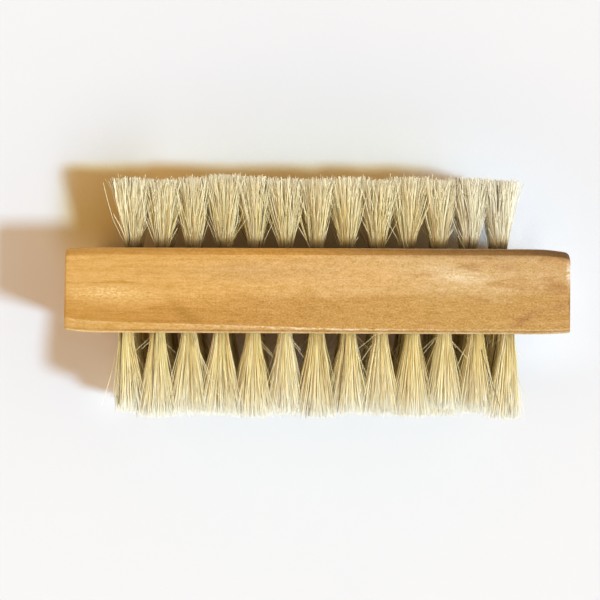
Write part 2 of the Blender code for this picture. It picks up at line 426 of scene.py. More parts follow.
def worn_ends(wood, colour, settings, mm):
    """A trace of oil at the left end; at the right one, splinters with a painted highlight, and painted
    shade.
    """
    x, y, z = wood.split(mm)
    chips = grain(wood, mm, 1.2, 1.6, (6, 4, 2), detail=4.0, roughness=0.7)
    beyond = x - HALF_LENGTH
    # Pale splinters, partly a painted highlight where the right end catches the light
    frayed = wood.fade(beyond + chips * 1.6, -0.2, 0.4) * wood.near(y - 3.5, 2.8)
    frayed = frayed * wood.fade(chips, 0.40, 0.55) * wood.fade(z, *TOP)
    # Painted shade over the near half of the right end, where it rounds away
    painted_end_shade = wood.fade(beyond + chips * 0.6, -0.3, 0.1) * wood.near(y + 2.5, 4.0)
    return wood.layers(
        colour,
        (wood.fade(x + HALF_LENGTH, 0.9, 0.2) * 0.4, settings.edge),
        (frayed * 0.7, settings.frayed),
        (painted_end_shade * 0.6, settings.edge_right),
    )


def rings_and_fibres(wood, mm, wander):
    """How dark the wood's grain is at a place, and how high: its rings, fibres, flecks and pores."""
    x, y, z = wood.split(mm)
    across, up = y - RING_MIDDLE[0], z - RING_MIDDLE[1]
    rings = ((across * across + up * up).root() / RING_WIDTH + wander * 3.0).fraction()
    late = wood.fade(rings, 0.35, 0.95) - wood.fade(rings, 0.95, 1.0)
    streaks = grain(wood, mm, 0.04, 1.3, detail=6.0, roughness=0.65, distortion=0.4)
    fibres = grain(wood, mm, 0.30, 6.5, detail=4.0, roughness=0.6)
    flecks = grain(wood, mm, 1.4, 3.2, (2, 6, 1), detail=5.0, roughness=0.75)
    specks = grain(wood, mm, 2.6, 3.2, (8, 2, 5), detail=2.0, roughness=0.6)
    blotches = grain(wood, mm, 0.35, 0.9, (1, 7, 3), detail=2.0)
    dabs = grain(wood, mm, 0.8, 1.6, (3, 5, 9), detail=2.0)
    pores = wood.fade(grain(wood, mm, 0.7, 8.0, (5, 1, 8), detail=2.0), 0.60, 0.74)
    left = wood.fade(x, 10, -40, 0.55, 1.0)
    darkness = late * 0.08 * left + wood.fade(streaks, 0.46, 0.72) * 0.18 * left
    darkness = darkness + (0.5 - fibres) * 0.30 + (0.5 - flecks) * 0.50 + pores * 0.10
    speckled = wood.fade(x, -42, -5, 0.5, 1.2) * wood.fade(y, 1, -3, 0.72, 1.0)
    darkness = darkness + (0.5 - specks) * speckled + (0.5 - blotches) * 0.36
    darkness = darkness + (0.5 - dabs) * wood.fade(x, -42, -5, 0.15, 0.45)
    relief = fibres * 0.6 + flecks * 0.5 + specks * 0.4 - pores * 0.5 - late * 0.3
    return darkness, relief


# Where the bristles' tints and the painted light at the narrow side's right end fade in, in metres
PAINTED_LIT_END_X = (0.018, 0.037)
NARROW_SIDE_Y = (0.008, 0.012)
WIDE_SIDE_Y = (0.0, -0.01)


def natural_bristle(settings):
    """Cream to golden strands with a few dark ones. u picks a strand's tone, v runs to its tip.

    The narrow side's right end has painted light, as if light shone through its last tufts.
    The very ends of the wide side's tips are bleached.
    """
    bristle = Finish("natural_bristle", Specular_IOR_Level=0.75, Diffuse_Roughness=1.0)
    place = bristle.node("ShaderNodeUVMap", {"uv_map": STRAND_MAP})
    tone, along, _ = bristle.split(place)
    tones = (
        (0.0, settings.dark),
        (DARK_TONE, settings.dark),
        (DARK_TONE + 0.01, settings.brown),
        (0.4, settings.golden),
        (0.68, settings.cream),
        (1.0, settings.pale),
    )
    drift = bristle.noise(bristle.stretched(place, (90, 7, 1)), detail=2.0) - 0.5
    light = bristle.fade(tone, DARK_TONE, DARK_TONE + 0.03)
    x, y, _ = bristle.split(bristle.node("ShaderNodeTexCoord", output="Object"))
    # Painted light at the narrow side's right end, for light that shines through its last tufts
    painted_lit_end = bristle.fade(x, *PAINTED_LIT_END_X) * bristle.fade(y, *NARROW_SIDE_Y) * 0.9
    split = bristle.fade(along + drift * 0.15, 0.87, 1.0) * bristle.fade(y, *WIDE_SIDE_Y, 0.2, 0.85)
    colour = bristle.layers(
        bristle.ramp(tone, tones),
        (bristle.fade(along + drift * 0.3, 0.45, 1.0, 0.0, 0.8) * light, settings.tips),
        (bristle.fade(along + drift * 0.3, 0.6, 0.1, 0.0, 0.4) * light, settings.root),
        (painted_lit_end * light, settings.faded),
        # Painted shade on strands where they leave the block
        (bristle.fade(along + drift * 0.1, 0.275, 0.10, 0.0, 0.97), settings.shaded),
        (split * light, settings.ends),
    )
    return bristle.surface(Base_Color=colour, Roughness=0.38 + 0.2 * drift)


def bright_wire():
    """Flat steel wire, drawn lengthwise, for the anchors."""
    wire = Finish("bright_wire", Metallic=1.0)
    place = wire.node("ShaderNodeTexCoord", output="Object")
    drawn = wire.noise(wire.stretched(place, (9000, 9000, 300)), detail=3.0)
    spots = wire.noise(wire.stretched(place, (900, 900, 900)), detail=2.0)
    colour = wire.blend(wire.fade(spots, 0.45, 0.75), (0.66, 0.65, 0.62), (0.42, 0.38, 0.33))
    normal = wire.bump(drawn, 0.3, 0.00002)
    return wire.surface(Base_Color=colour, Roughness=0.25 + 0.3 * drawn, Normal=normal)


# Where the floor's painted light and shade fade in, in metres, from where they begin to where they are
# full
FAR_Y = (0.0, 0.015)
BEHIND_X = (0.045, 0.010)
CORNER_X = ((-0.030, -0.047), (-0.060, -0.053))
NOOK_X = ((0.0475, 0.0415), (0.036, 0.040))
NOOK_Y = ((0.019, 0.009), (0.0, 0.005))
LEFT_X = (-0.038, -0.044)
NEAR_X = (-0.055, -0.042)
NEAR_Y = (-0.021, -0.011)
NEAR_LEFT_Y = (-0.032, -0.022)
FILTERED_X = ((0.029, 0.013), (-0.057, -0.050))
FILTERED_Y = (0.0290, 0.0255)
SHELTERED_Y = (0.0, 0.008)


def pale_floor(settings):
    """A plain pale surface, with painted shade where the brush's far side stands close over it.

    Beside the brush it is painted lighter where the brush hides the light all round. Behind the
    narrow side it is painted yellow and warmer, as light that came through the bristles makes it,
    and behind the left end it has a painted shadow. In the nook right of that side painted light
    makes it look as plain as the background, to the rays that show it only.
    """
    floor = Finish("pale_floor", Roughness=0.9, Specular_IOR_Level=0.1)
    floor.material.cycles.emission_sampling = "NONE"
    place = floor.node("ShaderNodeTexCoord", output="Object")
    mottle = floor.noise(place, scale=30.0, detail=2.0)
    dimmer = tuple(0.985 * part for part in settings.floor)
    reach = {"Distance": settings.shelter_reach}
    openness = floor.node("ShaderNodeAmbientOcclusion", {"samples": 8}, reach, output="AO")
    x, y, _ = floor.split(place)
    far = floor.fade(y, *FAR_Y)
    nook = floor.inside(x, *NOOK_X) * floor.inside(y, *NOOK_Y)
    # Painted light beside the brush where it hides the light all round, warmer painted light in the
    # shadow behind the narrow side, painted shadow behind the left end and painted light in the nook
    beside = floor.layers(
        settings.beside,
        (far * floor.fade(x, *BEHIND_X), settings.behind),
        (far * floor.inside(x, *CORNER_X), settings.far_corner),
        (nook, settings.nook),
    )
    left = floor.fade(x, *LEFT_X)
    near = floor.fade(y, *NEAR_Y) * (1.0 - left) + floor.fade(y, *NEAR_LEFT_Y) * left
    near = near * floor.fade(x, *NEAR_X)
    close = floor.fade(openness, 0.97, 0.72) * (far + (1.0 - far) * near)
    colour = floor.layers(settings.floor, (mottle, dimmer), (close, beside))
    # Painted yellow light close behind the tips, for light that came through the bristles
    filtered = floor.fade(y, *FILTERED_Y) * far * floor.inside(x, *FILTERED_X)
    colour = floor.blend(filtered, colour, settings.filtered, "MULTIPLY")
    # Painted shade on the floor close under the brush
    sheltered = floor.fade(openness, 0.65, 0.25) * floor.fade(y, *SHELTERED_Y)
    colour = floor.blend(sheltered, colour, settings.sheltered)
    # A painted glow in the nook, for the rays that show it
    glow = floor.blend(nook * seen_rays(floor), (0.0, 0.0, 0.0), settings.nook_glow)
    return floor.surface(Base_Color=colour, Emission_Color=glow, Emission_Strength=1.0)


def seen_rays(nodes):
    """One for the rays that show a surface: straight, in a gloss or through glass."""
    rays = ("Is Camera Ray", "Is Glossy Ray", "Is Transmission Ray")
    return sum(nodes.node("ShaderNodeLightPath", output=ray) for ray in rays)


def soft_fill(settings):
    """A world that lights warmly from all round, and looks like the floor where it is seen."""
    world = bpy.data.worlds.new("soft_fill")
    world.use_nodes = True
    fill = Nodes(world.node_tree)
    x, y, z = fill.split(fill.node("ShaderNodeTexCoord", output="Generated"))
    height = z.math("MAXIMUM", z, 0.0)
    steepness = height * height
    glow = settings.fill_strength * (0.45 + steepness * (3.9 - 4.2 * steepness))
    glow = glow * fill.fade(y, -0.2, 0.7, 1.15, 0.6)
    tint = fill.blend(fill.fade(y - x, -0.8, 0.8), settings.fill_tint, settings.far_tint)
    glow = fill.blend(1.0, glow, tint, "MULTIPLY")
    sky = world.node_tree.nodes["Background"]
    feed(sky.inputs["Color"], fill.blend(seen_rays(fill), glow, settings.backdrop))
    sky.inputs["Strength"].default_value = 1.0
    return world


# Shapes


def mesh_from(bm, name):
    mesh = bpy.data.meshes.new(name)
    bm.to_mesh(mesh)
    bm.free()
    return mesh


def add_object(name, data):
    obj = bpy.data.objects.new(name, data)
    bpy.context.scene.collection.objects.link(obj)
    return obj


def add_piece(name, mesh, material, nodes):
    """A finished piece, riding on the brush in place of these nodes."""
    piece = add_object(name, mesh)
    mesh.materials.append(material)
    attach(piece, BODY)
    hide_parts(*nodes)


def cut(obj, cutter):
    """Cuts a bmesh's shape out of an object's mesh for good."""
    tool = add_object("cutter", mesh_from(cutter, "cutter"))
    modifier = obj.modifiers.new("cut", "BOOLEAN")
    modifier.operation = "DIFFERENCE"
    modifier.solver = "EXACT"
    modifier.object = tool
    bpy.context.view_layer.update()
    graph = bpy.context.evaluated_depsgraph_get()
    mesh = bpy.data.meshes.new_from_object(obj.evaluated_get(graph))
    obj.modifiers.clear()
    bpy.data.objects.remove(tool)
    obj.data = mesh
    return mesh


def edge_sizes(settings, x):
    """Side of Y, side of Z, width, depth and flatness of the block's four long edges at x."""
    along = (x - BLOCK_LOW.x) / BLOCK_LENGTH
    left, right = settings.near_edge
    near_width = left + (right - left) * min(1.0, along / NEAR_EDGE_REACH)
    near_facet = settings.near_facet * (1 - NEAR_EDGE_ROUNDER * along)
    left, right = settings.far_edge
    far_width = left + (right - left) * along
    hidden = settings.hidden_edge
    return (
        (1, 1, far_width, far_width, settings.far_facet),
        (-1, 1, near_width, NEAR_EDGE_DEPTH * near_width, near_facet),
        (-1, -1, hidden, hidden, 0.0),
        (1, -1, hidden, hidden, 0.0),
    )


def rounding(radius, from_end):
    """How far a rounded end draws in at this distance from it."""
    short = radius - min(from_end, radius)
    return radius - math.sqrt(radius**2 - short**2)


def block_section(settings, x):
    """The block's outline across its length at x, as (y, z) points round the section."""
    from_end = BLOCK_LENGTH / 2 - abs(x)
    right = x > 0
    end_inset = rounding(settings.end_rounds[right], from_end)
    middle = (BLOCK_LOW.z + BLOCK_HIGH.z) / 2
    half_width = BLOCK_WIDTH / 2 - end_inset
    painted_end_shade = max(0.0, 1 - from_end / settings.fall_length) ** 2
    points = []
    for side_y, side_z, width, depth, flatness in edge_sizes(settings, x):
        corner = 2 * right + (side_y < 0)
        side_inset = rounding(settings.corner_rounds[corner], from_end)
        half_thickness = BLOCK_HIGH.y - settings.corner_falls[corner] * painted_end_shade - side_inset
        width = max(width - end_inset, SMALLEST_EDGE)
        depth = max(depth - end_inset, SMALLEST_EDGE)
        edge = []
        for step in range(settings.edge_steps + 1):
            part = step / settings.edge_steps
            angle = math.radians(90) * part
            in_y = 1 - math.cos(angle) + flatness * (part - 1 + math.cos(angle))
            in_z = 1 - math.sin(angle) + flatness * (math.sin(angle) - part)
            y = half_thickness - width * in_y
            z = half_width - depth * in_z
            edge.append((side_y * y, middle + side_z * z))
        points += edge if side_y * side_z > 0 else edge[::-1]
    return points


def block_stations(settings):
    """Places along the block where its section is set, closer together at its rounded ends."""
    half = BLOCK_LENGTH / 2
    largest = max(*settings.end_rounds, *settings.corner_rounds)
    rounded = [half - largest * part**2 for part in (0.0, 0.13, 0.26, 0.4, 0.55, 0.7, 0.85, 1.0)]
    falling = [half - settings.fall_length * part for part in (0.25, 0.4, 0.55, 0.75, 1.0)]
    between = [TUFT_PLACES[-1] - TUFT_PITCH * (n + 0.5) for n in range(len(TUFT_PLACES) // 2)]
    right = rounded + falling + between
    return [-x for x in right] + right[::-1]


def wood_block_mesh(settings):
    """The block as a loft through its sections, closed at both ends."""
    stations = block_stations(settings)
    bm = bmesh.new()
    ring = bmesh.ops.create_circle(bm, cap_ends=True, segments=4 * (settings.edge_steps + 1))
    end = ring["verts"][0].link_faces[0]
    corners = list(end.verts)
    place_section(corners, settings, stations[0])
    for x in stations[1:]:
        grown = bmesh.ops.extrude_face_region(bm, geom=[end, *end.edges])["geom"]
        end = next(item for item in grown if isinstance(item, bmesh.types.BMFace))
        place_section(list(end.verts), settings, x)
    bmesh.ops.recalc_face_normals(bm, faces=bm.faces)
    return mesh_from(bm, "wood_block_shape")


def place_section(corners, settings, x):
    """Puts a section's corners at x, where the left end is sawn a little aslant."""
    near_end = max(0.0, 1 - (x - BLOCK_LOW.x) / settings.fall_length)
    for corner, (y, z) in zip(corners, block_section(settings, x)):
        slant = settings.end_slant * near_end * (y - BLOCK_LOW.y) / BLOCK_THICKNESS
        corner.co = (x + slant, y, z)


def drill_holes(block):
    """Drills a hole for each tuft, in from both bristle faces."""
    bm = bmesh.new()
    depth = HOLE_DEPTH + OVERSHOOT
    size = {"segments": HOLE_SIDES, "radius1": HOLE_RADIUS, "radius2": HOLE_RADIUS, "depth": depth}
    through = Matrix.Rotation(math.radians(90), 4, "X")
    for side in (side_facts(wide=True), side_facts(wide=False)):
        middle = side["face"] + side["out"] * (OVERSHOOT - HOLE_DEPTH) / 2
        for z in side["heights"]:
            for x in TUFT_PLACES:
                place = Matrix.Translation((x, middle, z)) @ through
                bmesh.ops.create_cone(bm, cap_ends=True, matrix=place, **size)
    return cut(block, bm)


# Bristles


def values_of(items, name, kind=np.int32, width=1):
    """One of the values of each of a mesh's items, as an array."""
    values = np.empty(len(items) * width, kind)
    items.foreach_get(name, values)
    return values


def disc_points(rng, count, radius):
    """Points spread evenly over a disc, each nudged a little."""
    number = np.arange(count)
    reach = radius * np.sqrt((number + 0.5) / count)
    angle = number * math.radians(137.5) + rng.uniform(0, 2 * math.pi)
    points = np.stack([reach * np.cos(angle), reach * np.sin(angle)], axis=1)
    return points + rng.normal(0, 0.02 * radius, points.shape)


def straight_tuft(settings):
    """Straight strands of radius one, one unit high to a level, all standing on the same point.

    The mesh's "strand" attribute says which strand a point belongs to.
    """
    bm = bmesh.new()
    strand = bm.verts.layers.int.new("strand")
    ends = []
    for number in range(settings.strands):
        turn = Matrix.Rotation(number * STRAND_TURN, 4, "Z")
        made = bmesh.ops.create_circle(bm, cap_ends=True, segments=3, radius=1.0, matrix=turn)
        for vert in made["verts"]:
            vert[strand] = number
        ends.append(made["verts"][0].link_faces[0])
    for _ in range(settings.levels):
        edges = [edge for face in ends for edge in face.edges]
        grown = bmesh.ops.extrude_face_region(bm, geom=ends + edges)["geom"]
        ends = [item for item in grown if isinstance(item, bmesh.types.BMFace)]
        risen = [item for item in grown if isinstance(item, bmesh.types.BMVert)]
        bmesh.ops.translate(bm, verts=risen, vec=(0, 0, 1))
    bmesh.ops.recalc_face_normals(bm, faces=bm.faces)
    return mesh_from(bm, "straight_tuft")


def straight_row(settings):
    """A straight tuft for each place in a row, as one mesh, and the strand of each of its points."""
    tuft = straight_tuft(settings)
    strand = values_of(tuft.attributes["strand"].data, "value")
    tuft.attributes.remove(tuft.attributes["strand"])
    bm = bmesh.new()
    for _ in TUFT_PLACES:
        bm.from_mesh(tuft)
    tufts = np.arange(len(TUFT_PLACES))[:, None]
    return mesh_from(bm, "straight_row"), (tufts * settings.strands + strand).ravel()


# How the strands of both sides differ: shares, spreads and ranges, with lengths in metres
FANNED = 1.1  # how many root radii out the tuft's fan ends
STEEPEST = 0.5  # the largest slope, but for wild strands
STRAY_LEAN = 0.22
STRAY_KEPT = 0.75  # share of its outward slope that a stray strand keeps without a neighbour
STRAY_BOW = 1.8  # times the usual bow
LEAST_WILD_LEAN = 0.35
WILD_LENGTHS = (0.15, 0.5)  # shares of the usual length
TUFT_RAGGED = 0.35  # how unlike the tufts' lengths are, as a share of their strands'
SHORT_SHARE = 0.05
SHORT_BY = (0.0005, 0.0035)
LONG_SHARE = 0.04
LONG_BY = (0.0, 0.0008)
THICKNESSES = (0.7, 1.35)  # times the usual radius
DARK_THICKNESS = 1.3
TUFT_TONES = 0.07
CLUMP_TONES = 0.08
STRAND_TONES = 0.17
LIGHT_TONES = (0.2, 0.98)
GOLDEN_TONES = (0.14, 0.5)
DARKEST = 0.01


def tuft_plan(rng, settings, side, row, free):
    """Roots, slopes, bows, lengths, radii and tones of a tuft's strands, in the tuft's own plane.

    free says which way along each axis the tuft has no neighbour, as -1, 0 or 1.
    """
    count = settings.strands
    root_radius = settings.root_radius * side["root"]
    roots = disc_points(rng, count, root_radius)
    unit = roots / root_radius
    reach = np.linalg.norm(unit, axis=1, keepdims=True)
    slopes = unit * np.minimum(reach, FANNED) * side["fan"]

    clump_places = disc_points(rng, settings.clumps, 1.0)
    nearest = np.linalg.norm(unit[:, None] - clump_places[None], axis=2).argmin(axis=1)
    for clump in range(settings.clumps):
        members = nearest == clump
        if members.any():
            shared = slopes[members].mean(axis=0) + rng.normal(0, side["clump_lean"], 2)
            slopes[members] += settings.clumping * (shared - slopes[members])
    slopes += rng.normal(0, side["lean"], slopes.shape)
    stray = rng.random(count) < side["stray_share"]
    slopes += stray[:, None] * rng.normal(0, STRAY_LEAN, slopes.shape)
    slopes = np.clip(slopes, -STEEPEST, STEEPEST)
    outward = slopes * np.array(free) > 0
    slopes *= np.where(outward, np.where(stray[:, None], STRAY_KEPT, side["free_fan"]), 1.0)
    wild = rng.random(count) < side["wild_share"]
    sideways = rng.uniform(LEAST_WILD_LEAN, side["wild_lean"], count) * rng.choice((-1, 1), count)
    slopes[:, 0] = np.where(wild, sideways, slopes[:, 0])

    bows = rng.normal(0, side["bow"], (count, 2)) * np.where(stray, STRAY_BOW, 1.0)[:, None]
    waves = rng.normal(0, side["wave"], (count, 2))
    lengths = side["length"] + side["proud"] - np.abs(rng.normal(0, side["ragged"], count))
    lengths += rng.normal(0, side["ragged"] * TUFT_RAGGED)
    short = rng.random(count) < SHORT_SHARE
    lengths -= short * rng.uniform(*SHORT_BY, count)
    lengths += (rng.random(count) < LONG_SHARE) * rng.uniform(*LONG_BY, count)
    lengths = np.minimum(lengths, side["length"] + settings.longest)
    lengths *= np.where(wild, rng.uniform(*WILD_LENGTHS, count), 1.0)
    radii = settings.strand_radius * rng.uniform(*THICKNESSES, count)

    tones = side["tone"] - side["depth_tone"] * row + rng.normal(0, TUFT_TONES)
    tones += rng.normal(0, STRAND_TONES, count)
    tones += rng.normal(0, CLUMP_TONES, settings.clumps)[nearest]
    golden = rng.random(count) < side["golden_share"]
    tones = np.where(golden, rng.uniform(*GOLDEN_TONES, count), np.clip(tones, *LIGHT_TONES))
    dark = rng.random(count) < side["dark_share"]
    radii = np.where(dark, DARK_THICKNESS * radii, radii)
    tones = np.where(dark, rng.uniform(DARKEST, DARK_TONE - TONE_WIDTH, count), tones)
    return roots, slopes, bows, waves, lengths, radii, tones


def bristle_row_mesh(settings, straight, side, row, seed):
    """A row of tufts: a copy of the straight row, whose strands are fanned, bowed and cut to length."""
    rng = np.random.default_rng(seed)
    out = side["out"]
    heights = side["heights"]
    across = -out * ((row == 0) - (row == len(heights) - 1))
    last = len(TUFT_PLACES) - 1
    plans = [
        tuft_plan(rng, settings, side, row, ((number == last) - (number == 0), across))
        for number in range(len(TUFT_PLACES))
    ]
    roots, slopes, bows, waves, lengths, radii, tones = (np.concatenate(part) for part in zip(*plans))
    middles = np.repeat(np.array([(x, 0.0) for x in TUFT_PLACES]), settings.strands, axis=0)
    tip_heights = heights[row] - out * (roots[:, 1] + slopes[:, 1] * lengths)
    kept = np.clip(tip_heights, BLOCK_LOW.z + settings.margin, BLOCK_HIGH.z - settings.margin)
    slopes[:, 1] = (out * (heights[row] - kept) - roots[:, 1]) / lengths
    row_mesh, strand = straight
    mesh = row_mesh.copy()
    points = values_of(mesh.vertices, "co", float, 3).reshape(-1, 3)

    level = points[:, 2] / settings.levels
    height = level * (lengths[strand] + settings.sunk) - settings.sunk
    rise = np.clip(height, 0, None)[:, None]
    part = rise / side["length"]
    width = points[:, :2] * radii[strand][:, None]
    flare = 1.0 - side["upright"] * (1.0 - np.minimum(part, 1.0))
    spine = (roots + middles)[strand] + slopes[strand] * rise * flare
    spine += bows[strand] * np.sin(math.pi * part) + waves[strand] * np.sin(2 * math.pi * part)
    flat = spine + width * (1.0 - side["taper"] * level)[:, None]

    world = np.stack([flat[:, 0], side["face"] + out * height, heights[row] - out * flat[:, 1]], axis=1)
    mesh.vertices.foreach_set("co", world.ravel())
    paint_strands(mesh, strand, side["root_tone"] + (1 - side["root_tone"]) * level, tones)
    mesh.shade_smooth()
    mesh.update()
    return mesh


def paint_strands(mesh, strand, along, tones):
    """Lays out the UV map: a strand takes a narrow band at its tone, from its root up to its tip.

    along says how far up its strand each point is, where the root may start above nought.
    """
    layer = mesh.uv_layers.new(name=STRAND_MAP)
    corners = values_of(mesh.loops, "vertex_index")
    starts = values_of(mesh.polygons, "loop_start")
    sizes = values_of(mesh.polygons, "loop_total")
    face = np.repeat(np.arange(len(starts)), sizes)
    place = np.arange(len(corners)) - starts[face]

    end_cap = (sizes == 3)[face]
    far_side = (place == 1) | ((place == 2) & ~end_cap)
    along = along[corners]
    inward = np.where(along > 0.5, -MAP_MARGIN, MAP_MARGIN)
    along += np.where(end_cap & (place == 2), inward, 0.0)
    across = tones[strand[corners]] + np.where(far_side, TONE_WIDTH, 0.0)
    map_points = np.stack([across, MAP_MARGIN + (1 - 2 * MAP_MARGIN) * along], axis=1)
    layer.data.foreach_set("uv", np.clip(map_points, 0.0, 1.0).ravel())


# Settings


def plain_number(description, default, **more):
    return FloatProperty(description=description, default=default, **more)


def length(description, default, smallest=0.0):
    more = {"min": smallest, "subtype": "DISTANCE", "unit": "LENGTH", "precision": 5}
    return plain_number(description, default, **more)


def share(description, default):
    return plain_number(description, default, min=0.0, max=1.0, subtype="FACTOR")


def strength(description, default):
    return plain_number(description, default, min=0.0)


def angle(description, degrees):
    return plain_number(description, math.radians(degrees), subtype="ANGLE", unit="ROTATION")


def whole_number(description, default, fewest, most):
    return IntProperty(description=description, default=default, min=fewest, max=most)


def number_set(description, default, **more):
    return FloatVectorProperty(description=description, default=default, size=len(default), **more)


def length_set(description, default):
    """A length for the block's left and right end, or for each of its four upright corners."""
    ends = "at the block's left and right end"
    corners = "at the left far, left near, right far and right near corner"
    description = f"{description}, {corners if len(default) == 4 else ends}"
    return number_set(description, default, min=0.00001, unit="LENGTH", precision=5)


def colour(description, default):
    return number_set(description, default, min=0.0, max=1.0, subtype="COLOR")


class BlockSettings(PropertyGroup):
    """Sizes and colours of the wooden block"""

    far_edge: length_set("Width of the planed edge by the narrow side", (0.0014, 0.0012))
    near_edge: length_set("Width of the planed edge by the wide side", (0.0023, 0.0009))
    hidden_edge: length("Width of the two rounded edges underneath", 0.0012)
    near_facet: share("How flat the near edge is, where zero is round", 0.8)
    far_facet: share("How flat the far edge is, where zero is round", 0.75)
    end_rounds: length_set("Radius between the end and the long sides", (0.0005, 0.0005))
    corner_falls: length_set("How far the bristle faces fall away", (0.0003, 0.00053, 0.0007, 0.0003))
    corner_rounds: length_set("Radius between end and face", (0.0003, 0.0003, 0.0010, 0.0004))
    end_slant: length("How much further in the left end is on its far side", 0.0002)
    fall_length: length("How far from an end the faces begin to fall away", 0.0070, 0.001)
    edge_steps: whole_number("Steps round an edge", 6, 2, 16)
    honey: colour("Wood at the left end", (0.665, 0.377, 0.111))
    pale: colour("Wood at the right end", (0.615, 0.40, 0.172))
    shade: colour("Deeper wood along the near half, at the left", (0.528, 0.266, 0.054))
    shade_right: colour("The same at the right", (0.50, 0.285, 0.072))
    smudge: colour("Brown patches", (0.46, 0.235, 0.065))
    streak: colour("Light figure by the left end", (0.92, 0.66, 0.30))
    # Paler wood, and also the painted highlight along the near edge's rim at the left
    bare_left: colour("Paler wood on the planed edge at the left", (0.80, 0.56, 0.27))
    # Pale wood, and also the painted highlight in broken lines along the near edge
    bare: colour("Broken pale lines along the planed edge", (0.88, 0.74, 0.50))
    stain: colour("Stains", (0.40, 0.195, 0.052))
    knot: colour("A small knot", (0.415, 0.205, 0.030))
    dull: colour("Duller wood along the far half", (0.434, 0.29, 0.15))
    # Partly splinters, partly a painted highlight where the right end catches the light
    frayed: colour("Splintered wood at the right end", (0.95, 0.88, 0.76))
    # A dark line of painted shade, where the near edge rounds over
    seam: colour("Dark seam along the planed edge", (0.34, 0.18, 0.05))
    # A painted highlight along the near edge's very rim
    rim: colour("Thin rim beyond the seam", (0.58, 0.43, 0.22))
    # Oil and painted shade at the far right corner, where the edge rounds away from the light
    burnt: colour("Darkest wood, at the far right corner", (0.11, 0.05, 0.012))
    edge: colour("Oil-darkened wood along the far edge", (0.60, 0.28, 0.03))
    # Partly oil, partly painted shade where the far edge turns away from the light towards the right
    # end; also the painted shade on the right end's near half
    edge_right: colour("The same at the right", (0.235, 0.11, 0.022))


class BristleSettings(PropertyGroup):
    """Sizes and colours of the bristles"""

    strands: whole_number("Strands in a tuft", 500, 10, 550)
    clumps: whole_number("Bunches in a tuft", 30, 1, 80)
    levels: whole_number("Straight pieces in a strand", 4, 2, 12)
    clumping: share("How far a bunch draws together at its tips", 0.2)
    strand_radius: length("Radius of a strand", 0.000069, 0.00001)
    root_radius: length("Radius of a tuft where it leaves its hole", 0.00125, 0.0001)
    sunk: length("How far strands reach down into their hole", 0.0015)
    longest: length("How far the longest strands may reach past their tuft's length", 0.0011)
    margin: length("How far tips keep from the planes of the block's long sides", 0.0012)
    dark: colour("Dark strands", (0.065, 0.04, 0.02))
    brown: colour("Brownest of the light strands", (0.55, 0.35, 0.12))
    golden: colour("Golden strands", (0.84, 0.67, 0.25))
    cream: colour("Most strands", (0.91, 0.83, 0.41))
    pale: colour("Palest strands", (0.98, 0.93, 0.67))
    tips: colour("Bleached tips", (0.96, 0.895, 0.66))
    ends: colour("The ends of the tips, which are split", (0.84, 0.86, 0.80))
    # Painted light: the narrow side's right end, painted paler for light that shines through its last
    # tufts
    faded: colour("The narrow side's right end, which is bleached", (1.0, 0.98, 0.84))
    # Painted shade on strands where they leave the block
    shaded: colour("Strands where they leave the block, mostly the narrow side's", (0.10, 0.07, 0.035))
    root: colour("Strands near their roots", (0.68, 0.53, 0.23))


class StageSettings(PropertyGroup):
    """Floor, light and camera"""

    floor: colour("Colour of the floor", (0.905, 0.815, 0.714))
    # Painted light on the floor beside the brush, where the brush hides the light all round
    beside: colour("Colour of the floor close beside the brush", (1.0, 0.92, 0.82))
    # Warmer painted light in the shadow behind the narrow side
    behind: colour("The same behind the narrow side", (1.0, 0.88, 0.70))
    # Painted shadow behind the left end
    far_corner: colour("The same behind the left end", (0.73, 0.615, 0.40))
    # Painted light in the nook right of the narrow side
    nook: colour("The same in the nook right of the narrow side", (1.0, 0.90, 0.78))
    # A painted glow in the nook, for the rays that show it
    nook_glow: colour("What that nook gives off, for the rays that show it", (0.29, 0.28, 0.275))
    # Painted yellow light close behind the tips, for light that came through the bristles
    filtered: colour("Tint of the floor close behind the tips", (1.0, 0.86, 0.52))
    # Painted shade on the floor close under the brush
    sheltered: colour("Colour of the floor close under the brush", (0.26, 0.225, 0.16))
    shelter_reach: length("How far up the floor looks for something over it", 0.03, 0.001)
    backdrop: colour("Colour of what is seen beyond the floor", (0.91, 0.91, 0.91))
    key_tint: colour("Tint of the main light", (0.80, 0.91, 1.0))
    fill_tint: colour("Tint of the light all round", (1.0, 0.925, 0.835))
    far_tint: colour("Tint of the light from behind and the left", (1.0, 0.70, 0.42))
    key_strength: strength("Strength of the main light", 2.45)
    bristle_key_strength: strength("Strength of the same light on the bristles", 2.10)
    floor_key_strength: strength("Strength of the same light on the floor", 3.15)
    floor_key_tint: colour("Its tint there, for warm shadows", (0.405, 0.657, 0.978))
    through_strength: strength("Shadowless light that shines through the bristles", 0.98)
    through_tint: colour("Tint of that light", (1.0, 0.95, 0.84))
    through_spread: angle("Angular size of that light", 150)
    key_spread: angle("Angular size of the main light", 6)
    key_height: angle("Height of the main light above the horizon", 59.6)
    key_turn: angle("Turn of the main light from +X towards +Y", -17.5)
    fill_strength: strength("Strength of the light all round", 0.75)
    camera_height: length("The camera's height above the block's upper side", 0.270, 0.05)
    view_width: length("What the view is across, at the block's upper side", 0.11240, 0.01)


